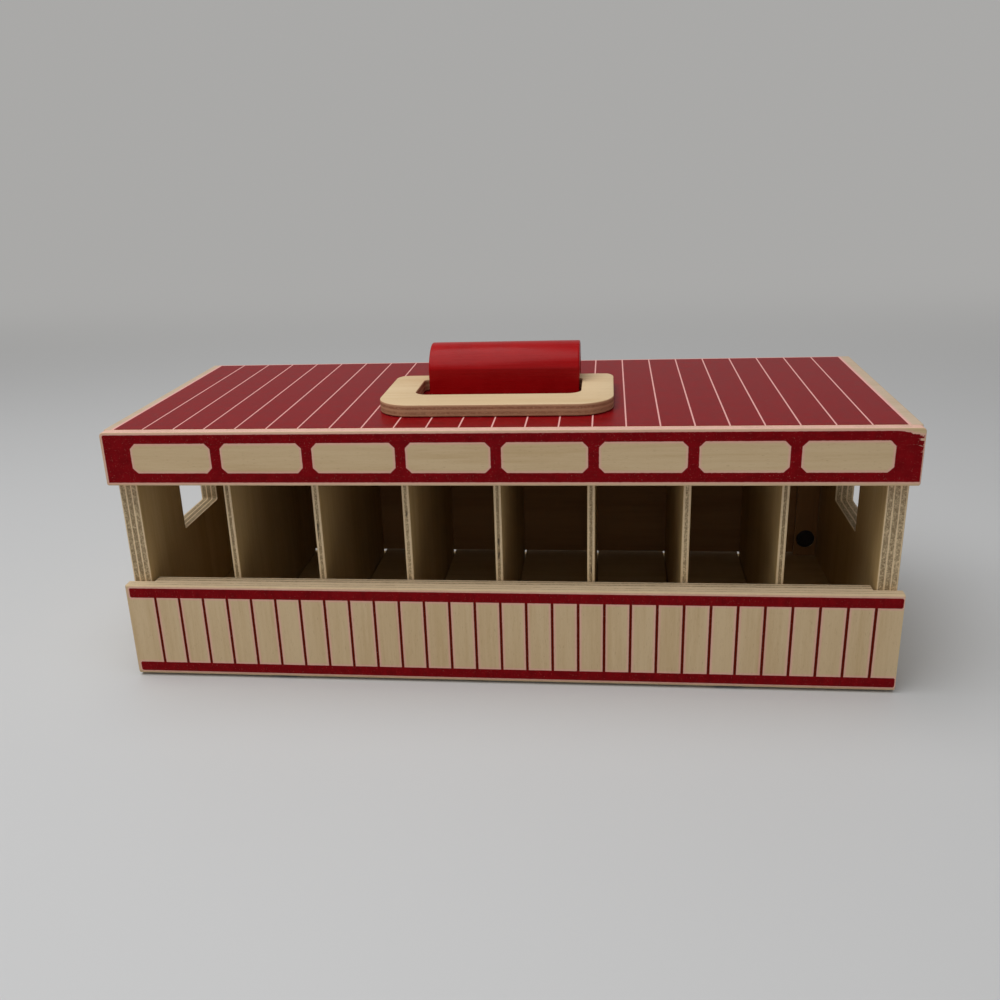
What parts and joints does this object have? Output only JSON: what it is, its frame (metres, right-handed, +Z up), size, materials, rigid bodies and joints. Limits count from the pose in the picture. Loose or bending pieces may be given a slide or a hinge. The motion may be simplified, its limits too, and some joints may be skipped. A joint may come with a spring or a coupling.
{
  "type": "toy barn",
  "caption": "Long wooden toy barn with a row of stalls, a drop-down front door, a lift-up rear door, side windows and a folding carry handle.",
  "frame": {"origin": "on the table, under the centre of the barn's box with both doors shut and the handle folded forward", "axes": "+X along the barn to the right as seen from the front, +Y from the front door to the rear door, +Z up"},
  "size_m": [0.3574, 0.152, 0.1455],
  "materials": {
    "birch_ply": "bare sanded plywood with darker ply layers on its edges",
    "red_print": "satin barn-red screen print on plywood",
    "red_paint": "semi-gloss red paint on solid wood",
    "zinc_steel": "zinc-plated steel",
    "black_ferrite": "matt black ferrite magnet"
  },
  "bodies": {
    "barn": {"floor": "birch_ply", "left_side_wall": "birch_ply", "right_side_wall": "birch_ply", "roof": "red_print", "sign_board": "red_print", "divider_1": "birch_ply", "divider_2": "birch_ply", "divider_3": "birch_ply", "divider_4": "birch_ply", "divider_5": "birch_ply", "divider_6": "birch_ply", "divider_7": "birch_ply", "left_front_hinge_lug": "zinc_steel", "right_front_hinge_lug": "zinc_steel", "front_hinge_screw_1": "zinc_steel", "front_hinge_screw_2": "zinc_steel", "front_hinge_screw_3": "zinc_steel", "front_hinge_screw_4": "zinc_steel", "left_rear_hinge_pin": "zinc_steel", "right_rear_hinge_pin": "zinc_steel", "left_rear_post": "birch_ply", "right_rear_post": "birch_ply", "left_magnet": "black_ferrite", "right_magnet": "black_ferrite", "handle_saddle": "red_paint", "handle_screw_1": "zinc_steel", "handle_screw_2": "zinc_steel", "handle_screw_3": "zinc_steel", "handle_screw_4": "zinc_steel"},
    "front_door": {"front_door_panel": "birch_ply", "front_door_liner": "birch_ply", "left_front_hinge_pin": "zinc_steel", "right_front_hinge_pin": "zinc_steel"},
    "rear_door": {"rear_door": "birch_ply", "left_strike_disc": "zinc_steel", "right_strike_disc": "zinc_steel"},
    "carry_handle": {"handle_ring": "birch_ply"}
  },
  "joints": [
    {"name": "front_door_hinge", "type": "hinge", "parent": "barn", "child": "front_door", "pos_m": [0, -0.073, 0.0035], "axis": [1, 0, 0], "range_deg": [0, 90]},
    {"name": "rear_door_hinge", "type": "hinge", "parent": "barn", "child": "rear_door", "pos_m": [0, 0.066, 0.1132], "axis": [1, 0, 0], "range_deg": [0, 88]},
    {"name": "handle_hinge", "type": "hinge", "parent": "barn", "child": "carry_handle", "pos_m": [-0.0023, 0.01155, 0.12555], "axis": [-1, 0, 0], "range_deg": [0, 90]}
  ]
}
